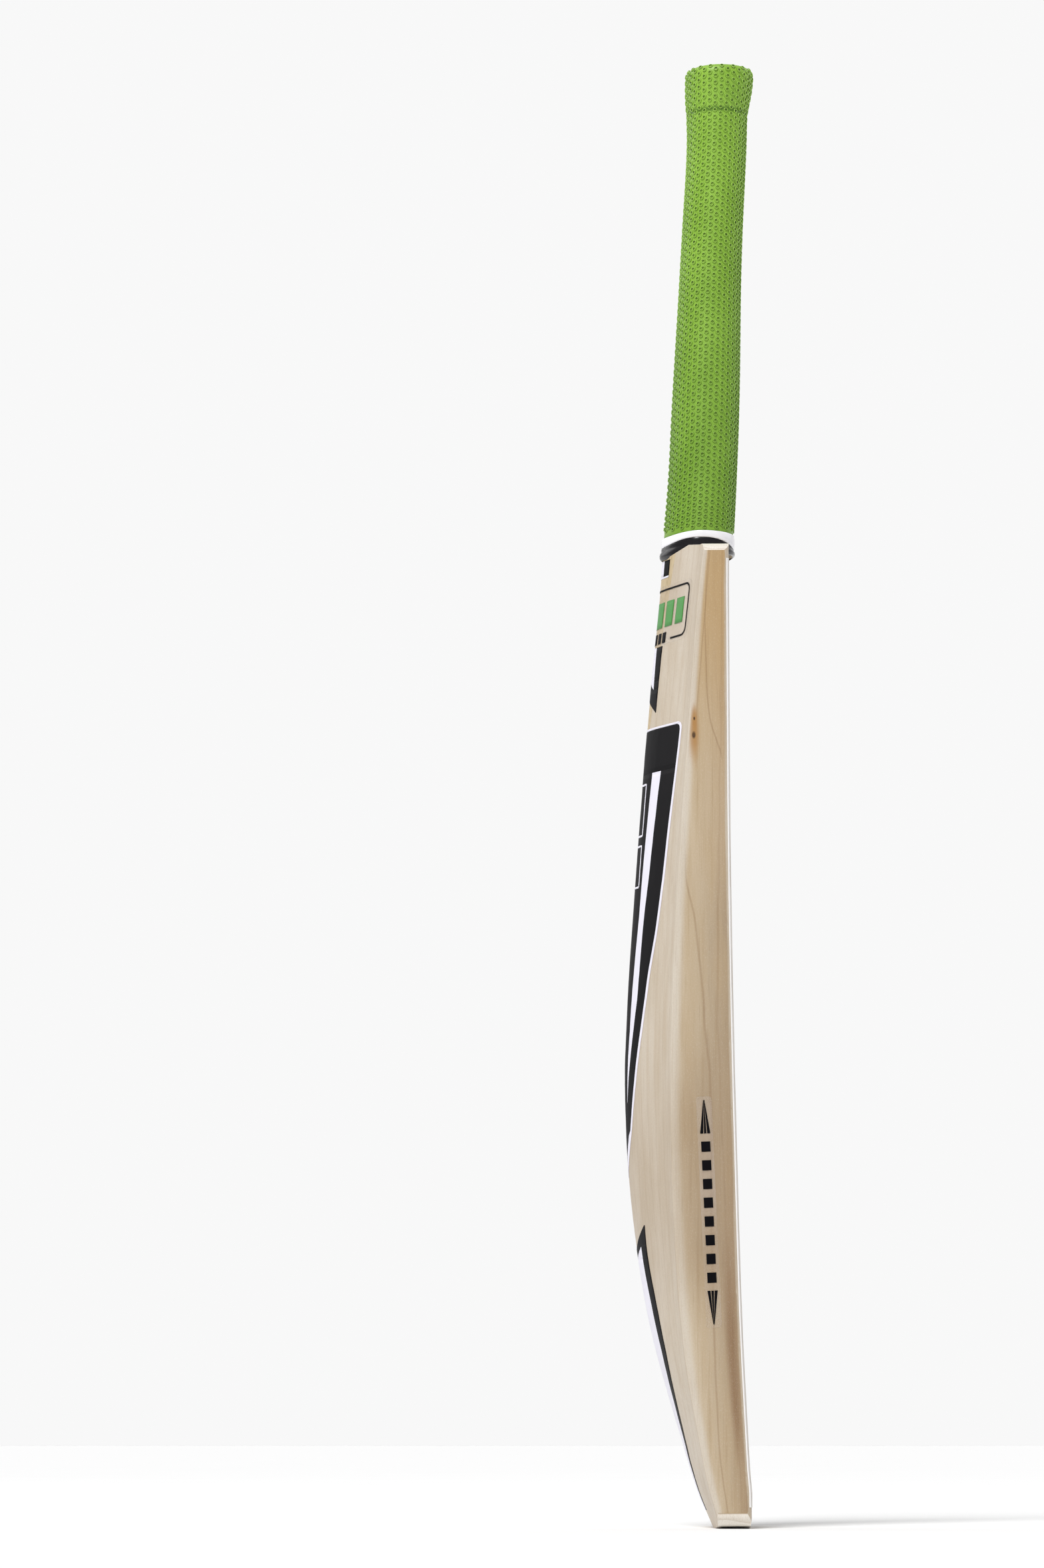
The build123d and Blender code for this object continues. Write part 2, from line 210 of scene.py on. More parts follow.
# Two pin knots on the near edge: depth, height and relative size.
KNOTS = ((20.3, 451.0, 1.0), (20.0, 460.5, 0.5))
# A brown halo drawn out along the grain, then the knot: spread of its distance on each
# axis, where it starts and ends to fade, colour and strength.
KNOT_RINGS = (
    ((0.0, 0.22, 0.045), 0.10, 1.0, "#A9793A", 0.8),
    ((0.0, 0.70, 0.36), 0.40, 1.0, "#45301C", 0.95),
)


def edge_shares(tree, y, z):
    """Share up the edge, and share across it from the face side to the back side."""
    up = math_of(tree, "DIVIDE", z, BLADE_TOP, clamp=True)
    front, back = (math_of(tree, "MULTIPLY_ADD", curve_of(tree, up, side), EDGE_SPAN,
                           EDGE_START) for side in (FACE_SIDE, BACK_SIDE))
    across = math_of(tree, "DIVIDE", math_of(tree, "SUBTRACT", y, front),
                     math_of(tree, "SUBTRACT", back, front), clamp=True)
    return up, across


def edge_wood(tree, place, z, up, across, swell, streak, cloud):
    """Tan wood of the edge: lighter toward the back, darker toward the face and toe."""
    face_side = blend(tree, ramp(tree, z, 330.0, 410.0), "#A18C71", "#B39C7E")
    edge = blend(tree, across, face_side, "#CAB99F")
    edge = blend(tree, product(tree, ramp(tree, cloud, 0.42, 0.68), 0.5), edge, "#B69F7E")
    edge = blend(tree, product(tree, ramp(tree, z, 400.0, 540.0), 0.65), edge, "#B3905B")
    edge = blend(tree, product(tree, ramp(tree, streak, 0.5, 0.75), 0.28), edge, "#9A7C52")
    browner = product(tree, swell, ramp(tree, across, 0.10, 0.40), 0.55)
    edge = blend(tree, browner, edge, "#CBBCAA", "MULTIPLY")

    wave = stretched(tree, place, (0.0, 0.06, 0.02), 2.0)
    for path, low, high, strength in EDGE_LINES:
        line = math_of(tree, "MULTIPLY_ADD", wave, 0.10, curve_of(tree, up, path))
        line = math_of(tree, "SUBTRACT", line, 0.05)
        away = size_of(tree, math_of(tree, "SUBTRACT", across, line))
        seen = product(tree, ramp(tree, z, low, high), ramp(tree, away, 0.034, 0.004))
        edge = blend(tree, product(tree, seen, strength), edge, "#85623C")
    shade = product(tree, ramp(tree, across, 0.42, 0.0), ramp(tree, z, 330, 120), 0.45)
    edge = blend(tree, shade, edge, "#967B5C")

    # brown stain on the face side of the edge, near the toe
    beside = size_of(tree, math_of(tree, "SUBTRACT", across, 0.13))
    stain = product(tree, rest_of(tree, ramp(tree, beside, 0.02, 0.16)),
                    ramp(tree, z, 25.0, 70.0), rest_of(tree, ramp(tree, z, 105.0, 185.0)))
    return blend(tree, product(tree, stain, 0.6), edge, "#7E5C3C")


def english_willow():
    """Sanded and waxed willow. Nearly white sapwood with straight growth lines on the face
    and back, browner where the edge cuts along a growth layer, and pale end grain."""
    material, tree, shader, place = finish_named("english_willow_waxed")
    x, y, z = axes_of(tree, place)
    normal = axes_of(tree, add(tree, "NewGeometry").outputs["Normal"])
    side, back, end_on = (normal[0], normal[1], normal[2])
    sideways = size_of(tree, side)

    pale, beat, streak, cloud = sapwood(tree, place, x)
    fibre = stretched(tree, place, (1.6, 1.6, 0.045), 4.0, 0.6)
    # the deepest part of the blade is a little browner all over
    swell = product(tree, ramp(tree, z, 105.0, 160.0), ramp(tree, z, 300.0, 215.0))
    pale = blend(tree, product(tree, swell, 0.24), pale, "#CBBCAA", "MULTIPLY")
    up, across = edge_shares(tree, y, z)
    edge = edge_wood(tree, place, z, up, across, swell, streak, cloud)

    flat = ramp(tree, sideways, 0.92, 0.995)
    colour = blend(tree, product(tree, flat, ramp(tree, across, 1.04, 0.80)), pale, edge)
    # painted highlight: the rounded corner between edge and back, and the strip of edge beside
    # it, are painted paler as if catching the light, less so over the deepest part of the blade
    rounded = product(tree, ramp(tree, back, 0.02, 0.2), ramp(tree, sideways, 0.45, 0.8),
                      rest_of(tree, flat))
    corner_highlight = math_of(tree, "MAXIMUM", product(tree, ramp(tree, across, 0.84, 0.97), flat),
                   rounded)
    kept = math_of(tree, "MULTIPLY_ADD", swell, -0.30, 0.45)
    colour = blend(tree, product(tree, corner_highlight, kept), colour, "#D6CEC2")

    # rays cut short by sanding: pale and dark flecks a millimetre or two long
    fleck = stretched(tree, place, (1.8, 1.6, 0.9), 2.0, 0.7)
    for low, high, strength, tone in ((0.50, 0.72, 0.22, "#B79F7F"),
                                      (0.48, 0.28, 0.12, "#E4DACB")):
        colour = blend(tree, product(tree, ramp(tree, fleck, low, high), strength),
                       colour, tone)

    for spot_y, spot_z, size in KNOTS:
        off = add(tree, "VectorMath", {0: place, 1: (-EDGE_X, spot_y, spot_z)},
                  operation="SUBTRACT").outputs[0]
        for reach, low, high, tone, strength in KNOT_RINGS:
            spread = tuple(v / size for v in reach)
            far = add(tree, "VectorMath", {0: off, 1: spread}, operation="MULTIPLY").outputs[0]
            far = add(tree, "VectorMath", {0: far}, operation="LENGTH").outputs["Value"]
            spot = rest_of(tree, ramp(tree, far, low, high))
            colour = blend(tree, product(tree, spot, strength, flat), colour, tone)

    # end grain on the toe and the shoulders
    dots = stretched(tree, place, (2.2, 2.2, 0.2), 2.0)
    end = blend(tree, ramp(tree, dots, 0.4, 0.7), "#EEE8DE", "#E5DCCF")
    end = blend(tree, product(tree, math_of(tree, "POWER", beat, 5.0), 0.35), end, "#B39A7C")
    # the cut ends turn up or down without turning toward the back or the face
    cut = math_of(tree, "MULTIPLY_ADD", size_of(tree, back), -0.9, size_of(tree, end_on))
    rub = product(tree, ramp(tree, cut, 0.02, 0.10), rest_of(tree, ramp(tree, cut, 0.14, 0.24)))
    colour = blend(tree, ramp(tree, cut, 0.10, 0.18), colour, end)
    colour = blend(tree, product(tree, rub, 0.55), colour, "#A58A66")
    colour = blend(tree, product(tree, ramp(tree, fibre, 0.5, 0.8), 0.22), colour, "#A88C68",
                   "MULTIPLY")
    tree.links.new(colour, shader.inputs["Base Color"])

    gloss = math_of(tree, "MULTIPLY_ADD", fibre, 0.16, 0.36)
    tree.links.new(gloss, shader.inputs["Roughness"])
    shader.inputs["IOR"].default_value = 1.48
    bump = add(tree, "Bump", {"Height": fibre, "Strength": 0.25, "Distance": 0.03 * MM})
    tree.links.new(bump.outputs[0], shader.inputs["Normal"])
    return material


def manau_cane():
    """Split and glued cane. Dark pores 0.6 mm apart in the end grain, fibres lengthwise."""
    material, tree, shader, place = finish_named("manau_cane")
    pores = add(tree, "TexVoronoi", {
        "Vector": add(tree, "VectorMath", {0: place, 1: (1.6, 1.6, 0.03)},
                      operation="MULTIPLY").outputs[0], "Scale": 1.0}).outputs["Distance"]
    tint = stretched(tree, place, (0.3, 0.3, 0.01), 2.0)
    wood = blend(tree, tint, "#CDBC9C", "#BDA67E")
    wood = blend(tree, rest_of(tree, ramp(tree, pores, 0.12, 0.34)), wood, "#8A6E48")
    tree.links.new(wood, shader.inputs["Base Color"])
    shader.inputs["Roughness"].default_value = 0.6
    bump = add(tree, "Bump", {"Height": pores, "Strength": 0.4, "Distance": 0.1 * MM})
    tree.links.new(bump.outputs[0], shader.inputs["Normal"])
    return material


def sheet_rubber():
    """Black sheet rubber cut into strips, matt and faintly mottled."""
    material, tree, shader, place = finish_named("sheet_rubber")
    mottle = stretched(tree, place, (1.5, 1.5, 1.5))
    tree.links.new(blend(tree, mottle, "#2B2725", "#3A3431"), shader.inputs["Base Color"])
    shader.inputs["Roughness"].default_value = 0.75
    return material


def waxed_twine():
    """Waxed linen twine wound tight, each turn 0.8 mm wide, with painted shade in the valley
    between turns.
    """
    material, tree, shader, place = finish_named("waxed_linen_twine")
    height = axes_of(tree, place)[2]
    turn = math_of(tree, "SINE", math_of(tree, "MULTIPLY", height, 2 * math.pi / TWINE_TURN))
    fluff = stretched(tree, place, (3.0, 3.0, 3.0))
    thread = blend(tree, fluff, "#E4D6B4", "#CDBB92")
    # painted shade in the valleys between turns
    thread = blend(tree, ramp(tree, turn, -0.2, -1.0), thread, "#7D6C4A")
    tree.links.new(thread, shader.inputs["Base Color"])
    shader.inputs["Roughness"].default_value = 0.55
    bump = add(tree, "Bump", {"Height": turn, "Strength": 0.8, "Distance": 0.2 * MM})
    tree.links.new(bump.outputs[0], shader.inputs["Normal"])
    return material


def moulded_grip_rubber():
    """Natural rubber moulded in lime green. Satin, with painted shade at the ring feet, in the
    pits, in the crease under the top band, under the collar tape and inside the rim, and a
    little paler on the ring tops where the mould polished them."""
    material, tree, shader, place = finish_named("moulded_green_rubber")
    shade_and_polish = add(tree, "Attribute", attribute_name="shade_and_polish").outputs["Fac"]
    cloud = stretched(tree, place, (0.05, 0.05, 0.03), 3.0)
    grit = stretched(tree, place, (5.0, 5.0, 5.0), 2.0)
    rubber = blend(tree, ramp(tree, cloud, 0.3, 0.7), "#96C245", "#88B438")
    rubber = blend(tree, ramp(tree, shade_and_polish, 0.10, 0.0), rubber, "#9DC450")
    # painted shade from the per-point attribute: dark green at the ring feet and in the crease,
    # near black deep in the pits
    rubber = blend(tree, ramp(tree, shade_and_polish, 0.15, 0.5), rubber, "#3E6610")
    rubber = blend(tree, ramp(tree, shade_and_polish, 0.55, 0.8), rubber, "#0A1202")
    # darker towards the bottom of the grip
    lower_darkening = product(tree, ramp(tree, axes_of(tree, place)[2], 800.0, 590.0), 0.35)
    rubber = blend(tree, lower_darkening, rubber, "#7C9A48", "MULTIPLY")
    tree.links.new(rubber, shader.inputs["Base Color"])
    shine = math_of(tree, "MULTIPLY_ADD", grit, 0.14, 0.34)
    tree.links.new(shine, shader.inputs["Roughness"])
    shader.inputs["IOR"].default_value = 1.52
    bump = add(tree, "Bump", {"Height": grit, "Strength": 0.15, "Distance": 0.05 * MM})
    tree.links.new(bump.outputs[0], shader.inputs["Normal"])
    return material


def vinyl(name, code, other, rough, coat=0.0, grain=0.6, gloss=0.5):
    """Vinyl tape or sticker: even colour, gloss film, faint stretch marks every grain mm."""
    material, tree, shader, place = finish_named(name)
    marks = stretched(tree, place, (1 / grain / 6, 1 / grain / 6, 1 / grain / 20), 3.0)
    tree.links.new(blend(tree, marks, code, other), shader.inputs["Base Color"])
    tree.links.new(math_of(tree, "MULTIPLY_ADD", marks, 0.1, rough),
                   shader.inputs["Roughness"])
    shader.inputs["IOR"].default_value = 1.5
    shader.inputs["Specular IOR Level"].default_value = gloss
    shader.inputs["Coat Weight"].default_value = coat
    shader.inputs["Coat Roughness"].default_value = 0.06
    bump = add(tree, "Bump", {"Height": marks, "Strength": 0.12, "Distance": 0.08 * MM})
    tree.links.new(bump.outputs[0], shader.inputs["Normal"])
    return material


def clear_film(name, code, opacity, rough):
    """Clear polymer over the wood: only its sheen and a slight tint are seen."""
    material, tree, shader, place = finish_named(name)
    haze = stretched(tree, place, (0.05, 0.05, 0.02), 3.0)
    tree.links.new(blend(tree, haze, code, "#FFFFFF"), shader.inputs["Base Color"])
    tree.links.new(math_of(tree, "MULTIPLY_ADD", haze, 0.08, rough),
                   shader.inputs["Roughness"])
    shader.inputs["Alpha"].default_value = opacity
    return material


def facing_sheet():
    """Clear polymer bonded to the face with no air gap: the willow shows straight through, a
    little greyer under the haze of the sheet, with a painted pale sheen where the sheet bends
    over the edges."""
    material, tree, shader, place = finish_named("bonded_clear_facing_sheet")
    x = axes_of(tree, place)[0]
    sideways = size_of(tree, axes_of(tree, add(tree, "NewGeometry").outputs["Normal"])[0])
    haze = stretched(tree, place, (0.05, 0.05, 0.02), 3.0)
    veil = math_of(tree, "MULTIPLY_ADD", haze, 0.30, 0.12)
    seen = blend(tree, veil, sapwood(tree, place, x)[0], "#E9E7E6")
    bend = product(tree, ramp(tree, sideways, 0.25, 0.75), 0.8)
    # painted sheen: near white where the sheet turns toward the sides
    tree.links.new(blend(tree, bend, seen, "#F6F5F5"), shader.inputs["Base Color"])
    tree.links.new(math_of(tree, "MULTIPLY_ADD", haze, 0.08, 0.28),
                   shader.inputs["Roughness"])
    shader.inputs["IOR"].default_value = 1.5
    return material


WILLOW = english_willow()
CANE = manau_cane()
SPRING = sheet_rubber()
TWINE = waxed_twine()
GRIP = moulded_grip_rubber()
WHITE_TAPE = vinyl("white_gloss_tape", "#FAF9FD", "#F4F3F8", 0.16, 0.4)
BLACK_TAPE = vinyl("black_gloss_tape", "#121014", "#1B191E", 0.14, 0.3)
BLACK_INK = vinyl("black_sticker_print", "#09080B", "#100E12", 0.42, 0.0, 1.0, 0.06)
WHITE_INK = vinyl("white_sticker_print", "#EFEDF7", "#E6E3F0", 0.34, 0.0, 1.0)
GREEN_INK = vinyl("green_sticker_print", "#4A9645", "#418B3C", 0.34, 0.0, 1.0, 0.3)
FILM = clear_film("clear_sticker_film", "#C2A274", 0.10, 0.25)
FACING = facing_sheet()


# ------------------------------------------------------------------ shape helpers
def target_of(*names):
    """Ray target made from CAD nodes."""
    corners, faces = [], []
    for name in names:
        start = len(corners)
        corners += [v.co.copy() for v in nodes[name].data.vertices]
        faces += [tuple(start + i for i in p.vertices) for p in nodes[name].data.polygons]
    return BVHTree.FromPolygons(corners, faces)


wood_target = target_of("blade", *[n for n in nodes if n.startswith(("cane", "rubber"))])


def on_back(x, z, lift):
    """Point over the back of the blade at x, z, lifted off the wood."""
    start = Vector((x * MM, 0.2, z * MM))
    hit, normal, _, _ = wood_target.ray_cast(start, Vector((0, -1, 0)))
    if hit is None:
        raise ValueError(f"no blade under x {x}, z {z}")
    return hit + Vector((0, 1, 0)) * (lift * MM) / max(abs(normal.y), 0.5)


def new_piece(name, points, faces, materials, shades=None, replaced=()):
    """Smooth-shaded mesh that rides on the bat."""
    mesh = bpy.data.meshes.new(name)
    mesh.from_pydata([tuple(p) for p in points], [], faces)
    for material in materials:
        mesh.materials.append(material)
    for polygon in mesh.polygons:
        polygon.use_smooth = True
        if shades:
            polygon.material_index = shades[polygon.index]
    mesh.update()
    piece = bpy.data.objects.new(name, mesh)
    bpy.context.scene.collection.objects.link(piece)
    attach(piece, "root")
    if replaced:
        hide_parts(*replaced)
    return piece


class Sheet:
    """Thin printed sheet laid on the back, built strip by strip and given a thickness."""

    ACROSS, ALONG = 1.25, 1.5       # longest face across a strip, and along a line

    def __init__(self, lift):
        self.lift, self.points, self.faces, self.shades = lift, [], [], []
        self.seen = {}

    def corner(self, x, z):
        """Index of the point at x, z, made once."""
        key = (round(x, 3), round(z, 3))
        if key not in self.seen:
            self.seen[key] = len(self.points)
            self.points.append(on_back(x, z, self.lift))
        return self.seen[key]

    def band(self, levels, left, right, shade):
        """Strip between two sides that are functions of height."""
        widest = max(right(z) - left(z) for z in levels)
        columns = max(1, math.ceil(widest / self.ACROSS))
        for low, high in zip(levels, levels[1:]):
            for n in range(columns):
                share = (n / columns, (n + 1) / columns)
                ring = []
                for z, order in ((low, share), (high, share[::-1])):
                    a, b = left(z), right(z)
                    ring += [self.corner(a + (b - a) * s, z) for s in order]
                face = [v for i, v in enumerate(ring) if v != ring[i - 1]]
                if len(set(face)) < 3 or len(set(face)) != len(face):
                    continue
                self.faces.append(face[::-1])
                self.shades.append(shade)

    def both(self, levels, inner, outer, shade):
        """The same strip on both sides of the spine."""
        self.band(levels, inner, outer, shade)
        self.band(levels, lambda z: -outer(z), lambda z: -inner(z), shade)

    def ribbon(self, path, width, shade):
        """Line of even width along x, z points."""
        dense = [path[0]]
        for a, b in zip(path, path[1:]):
            parts = max(1, math.ceil(math.dist(a, b) / self.ALONG))
            dense += [(a[0] + (b[0] - a[0]) * k / parts, a[1] + (b[1] - a[1]) * k / parts)
                      for k in range(1, parts + 1)]
        sides = []
        for i, (x, z) in enumerate(dense):
            before, after = dense[max(i - 1, 0)], dense[min(i + 1, len(dense) - 1)]
            run = Vector((after[0] - before[0], after[1] - before[1])).normalized()
            sides.append([self.corner(x + s * run.y * width / 2, z - s * run.x * width / 2)
                          for s in (-1, 1)])
        for a, b in zip(sides, sides[1:]):
            self.faces.append([a[0], b[0], b[1], a[1]])
            self.shades.append(shade)

    def piece(self, name, materials, slot, thick, replaced=()):
        """The finished sheet. Its lower side stops short of the wood, so that the two
        surfaces never lie in one plane."""
        made = new_piece(name, self.points, self.faces, materials, self.shades,
                         replaced)
        for polygon in made.data.polygons:
            if polygon.normal.y < 0:
                polygon.flip()
        made.data.update()
        solid = made.modifiers.new("thickness", "SOLIDIFY")
        solid.thickness = 0.6 * thick * MM
        solid.offset = -1.0
        solid.use_even_offset = False
        return made


def between(points):
    """Piecewise-straight function through (height, value) points, low to high."""
    heights = [p[0] for p in points]

    def value(z):
        i = min(max(bisect.bisect_right(heights, z) - 1, 0), len(points) - 2)
        (z0, v0), (z1, v1) = points[i], points[i + 1]
        t = min(max((z - z0) / (z1 - z0), 0.0), 1.0)
        return v0 + (v1 - v0) * t
    return value


def smooth_between(points):
    """As between, rounded off at its points."""
    plain = between(points)
    reach = 5.0
    return lambda z: sum(plain(z + reach * k / 4) for k in range(-4, 5)) / 9


def levels_between(low, high, step=3.0, extra=()):
    """Heights from low to high, with any extra ones kept exactly."""
    count = max(1, math.ceil((high - low) / step))
    heights = [low + (high - low) * n / count for n in range(count + 1)]
    kept = [z for z in extra if low < z < high]
    heights = [z for z in heights if all(abs(z - e) > 0.4 for e in kept)]
    return sorted(heights + kept)


# ------------------------------------------------------------------ handle outline
class Sleeve:
    """Outside of the handle: rings of points evenly spaced round it, at many heights."""

    LOWEST, HIGHEST, STEP = 568.5, 829.0, 6.5
    COLUMNS = 2 * RING_COLUMNS
    RAYS = 120                  # rays cast round the handle at each height

    def __init__(self):
        target = target_of("grip", "grip_collar_tape", "shoulder_tape")
        count = round((self.HIGHEST - self.LOWEST) / self.STEP)
        self.heights = [self.LOWEST + (self.HIGHEST - self.LOWEST) * n / count
                        for n in range(count + 1)]
        self.rings = [self.outline(target, z) for z in self.heights]

    def outline(self, target, z):
        """Points from the face side round by +X, at equal steps of length."""
        def outer(toward, middle):
            start = middle + toward * 60 * MM
            return target.ray_cast(start, -toward)[0]
        front = outer(Vector((0, -1, 0)), Vector((0, 0, z * MM))).y
        back = outer(Vector((0, 1, 0)), Vector((0, 0, z * MM))).y
        middle = Vector((0, (front + back) / 2, z * MM))
        raw = []
        for n in range(self.RAYS):
            turn = 2 * math.pi * n / self.RAYS - math.pi / 2
            raw.append(outer(Vector((math.cos(turn), math.sin(turn), 0)), middle))
        raw.append(raw[0])
        run = [0.0]
        for a, b in zip(raw, raw[1:]):
            run.append(run[-1] + (b - a).length)
        points = []
        for n in range(self.COLUMNS):
            want = run[-1] * n / self.COLUMNS
            i = min(bisect.bisect_right(run, want) - 1, len(raw) - 2)
            points.append(raw[i].lerp(raw[i + 1], (want - run[i]) / (run[i + 1] - run[i])))
        return points

    def plain(self, column, z):
        """Point on the sleeve with no lift."""
        span = (z - self.LOWEST) / (self.HIGHEST - self.LOWEST) * (len(self.heights) - 1)
        row = min(max(int(math.floor(span)), 0), len(self.heights) - 2)
        up = span - row
        low = int(math.floor(column)) % self.COLUMNS
        high = (low + 1) % self.COLUMNS
        side = column - math.floor(column)
        a = self.rings[row][low].lerp(self.rings[row][high], side)
        b = self.rings[row + 1][low].lerp(self.rings[row + 1][high], side)
        return a + (b - a) * up

    def frame(self, column, z):
        """Point, outward normal and the two directions along the surface."""
        middle = self.plain(column, z)
        along = (self.plain(column + 0.6, z) - self.plain(column - 0.6, z)).normalized()
        up = (self.plain(column, z + 3) - self.plain(column, z - 3)).normalized()
        out = along.cross(up).normalized()
        return middle, out, along, up

    def at(self, column, z, lift):
        """Point lifted off the sleeve, in millimetres."""
        middle, out, _, _ = self.frame(column, z)
        return middle + out * (lift * MM)


sleeve = Sleeve()


def around(column, front, side, back, power=2.0):
    """Value that changes round the handle from the face side to the spine side."""
    turn = 2 * math.pi * column / sleeve.COLUMNS
    reach = -math.cos(turn)
    share = abs(reach) ** power
    return side + ((back if reach > 0 else front) - side) * share


def lathe(columns, rows):
    """Closed skin from rows of points all the way round."""
    faces = []
    for r in range(len(rows) - 1):
        for c in range(columns):
            d = (c + 1) % columns
            faces.append((r * columns + c, r * columns + d,
                          (r + 1) * columns + d, (r + 1) * columns + c))
    return [p for row in rows for p in row], faces


# ------------------------------------------------------------------ grip
def collar_top(column):
    """Height of the upper edge of the white tape."""
    return around(column, 575.4, 576.6, 574.3)


flare_face = smooth_between([(826.0, 0.0), (829.0, 0.05), (834.0, 0.75), (840.0, 1.85),
                             (847.0, 2.75), (857.0, 2.75)])
flare_spine = smooth_between([(822.0, 0.0), (828.0, 0.25), (834.0, 0.85), (842.0, 1.25),
                              (857.0, 1.1)])


def crease_at(z):
    """1 in the crease under the top band, 0 away from it."""
    return math.exp(-((z - BAND_FOOT) / 1.6) ** 2)


def band_lift(column, z):
    """How far the rolled band at the top stands out, most toward the face."""
    side = 0.5 * (flare_face(z) + flare_spine(z))
    crease = 0.22 * crease_at(z)
    rim = min(max(z - (RIM_TOP - RIM_R), 0.0) / RIM_R, 1.0)
    rounding = 3.4 * (1 - math.sqrt(max(1 - rim**2, 0.0)))
    return around(column, flare_face(z), side, flare_spine(z)) - crease - rounding


def add_ring(points, faces, shade, column, z, squeeze):
    """One moulded ring with its pit, standing square to the rubber under it."""
    spot, out, along, _ = sleeve.frame(column, z)
    spot = spot + out * ((band_lift(column, z) - RING_HEIGHT) * MM)
    above, below = (sleeve.at(column, h, band_lift(column, h)) for h in (z + 0.5, z - 0.5))
    up = (above - below).normalized()
    out = along.cross(up).normalized()
    start = len(points)
    # the last value of each section row is its painted shade
    for radius, height, dark in RING_SECTION:
        for k in range(RING_CORNERS):
            a = 2 * math.pi * k / RING_CORNERS
            turned = along * math.cos(a) + up * (squeeze * math.sin(a))
            points.append(spot + (out * height + turned * radius) * MM)
            shade.append(dark)
    last = start + (len(RING_SECTION) - 1) * RING_CORNERS
    for low in range(start, last, RING_CORNERS):
        high = low + RING_CORNERS
        for k in range(RING_CORNERS):
            m = (k + 1) % RING_CORNERS
            faces.append((low + k, low + m, high + m, high + k))
    faces.append(tuple(last + k for k in range(RING_CORNERS)))


def make_grip():
    """Sheet with its rolled top band, and every ring standing on it."""
    sheet = -RING_HEIGHT
    columns = sleeve.COLUMNS
    rows, row_painted_shade = [], []

    def skin(lift, height, dark):
        """One row of the sheet; lift and height depend on the column, dark is the row's painted
        shade.
        """
        rows.append([sleeve.at(c, height(c), sheet + lift(c)) for c in range(columns)])
        row_painted_shade.append(dark)

    # painted shade where the sheet tucks under the collar tape
    for t in (-6.0, -1.5, 0.0):
        skin(lambda c: 0.0, lambda c: collar_top(c) + t, 0.3)
    rim_foot = RIM_TOP - RIM_R
    heights = levels_between(578.0, 820.0, 5.0) + levels_between(822.0, 834.0, 1.5)
    heights += levels_between(837.0, rim_foot - 2, 3.0)
    heights += [rim_foot + RIM_R * math.sin(math.pi / 2 * n / 6) for n in range(7)]
    # painted shade deepens in the crease under the rolled top band
    for z in heights:
        skin(lambda c: band_lift(c, z), lambda c: max(z, collar_top(c) + (z - SHEET_FOOT)),
             0.14 + 0.3 * crease_at(z))
    # the rim turns over and a short way down inside, painted in shade there
    for inward, down in ((0.5, 0.1), (0.9, 0.5), (1.1, 1.5), (1.1, 4.0)):
        skin(lambda c: band_lift(c, RIM_TOP) - inward, lambda c: RIM_TOP - down, 0.45)
    points, faces = lathe(columns, rows)
    shade = [shade_and_polish for shade_and_polish in row_painted_shade for _ in range(columns)]

    z, row = RIM_TOP - 1.6, 0
    while z > SHEET_FOOT + 0.6:
        tight = min(max((z - SHEET_FOOT) / 26.0, 0.0), 1.0)
        pitch = RING_PITCH_LOW + (RING_PITCH - RING_PITCH_LOW) * tight
        for n in range(row % 2, RING_COLUMNS, 2):
            column = n * columns / RING_COLUMNS
            if z >= collar_top(column) + 1.5:
                add_ring(points, faces, shade, column, z, 0.25 + 0.75 * pitch / RING_PITCH)
        z -= pitch / 2
        row += 1
    piece = new_piece("grip_sleeve", points, faces, [GRIP], None, ("grip",))
    # per-point painted shade for the rubber's colour; 0 on the ring tops, which are painted a
    # little paler
    shade_and_polish = piece.data.attributes.new("shade_and_polish", "FLOAT", "POINT")
    shade_and_polish.data.foreach_set("value", shade)


make_grip()


# ------------------------------------------------------------------ tapes at the shoulder
wrap_target = target_of("shoulder_whipping", "shoulder_tape")


def tape_ring(name, low, high, profile, material, replaced):
    """Band round the handle; profile gives share of the height and lift."""
    columns = 2 * sleeve.COLUMNS
    rows = []
    for share, lift in profile:
        row = []
        for n in range(columns):
            c = n / 2
            z = low(c) + (high(c) - low(c)) * share
            spot, out, _, _ = sleeve.frame(c, z)
            spot = spot + out * (lift * MM)
            under = wrap_target.ray_cast(spot + out * (12 * MM), -out, 24 * MM)[0]
            reach = (under - spot).dot(out) if under else -1.0
            row.append(spot + out * (reach + 0.1 * MM) if -0.1 * MM < reach < 6 * MM else spot)
        rows.append(row)
    points, faces = lathe(columns, rows)
    return new_piece(name, points, faces, [material], None, replaced)


def collar_low(column):
    """Height of the lower edge of the white tape."""
    return around(column, 566.9, 572.5, 568.4, 2.6)


def band_low(column):
    """Height of the lower edge of the black tape."""
    return around(column, 563.6, 558.5, 561.2, 0.8)


tape_ring(
    "white_collar_tape", collar_low, collar_top,
    ((0.0, -0.3), (0.0, 0.2), (0.05, 0.5), (0.15, 0.62), (0.5, 0.62), (0.86, 0.45),
     (0.97, 0.2), (1.0, -0.2), (1.0, -0.9)),
    WHITE_TAPE, ("grip_collar_tape",),
)
tape_ring(
    "black_shoulder_tape", band_low, lambda c: collar_low(c) + 0.4,
    ((0.0, -0.3), (0.02, 0.2), (0.08, 0.6), (0.2, 1.0), (0.38, 1.15), (0.52, 1.0),
     (0.62, 0.55), (0.7, 0.35), (0.8, 0.45), (0.9, 0.35), (1.0, -0.1)),
    BLACK_TAPE, ("shoulder_tape",),
)

# ------------------------------------------------------------------ stickers on the back
BLACK, WHITE = 0, 1
INKS = [BLACK_INK, WHITE_INK]


def level(value):
    """The same value at every height."""
    return lambda z: value


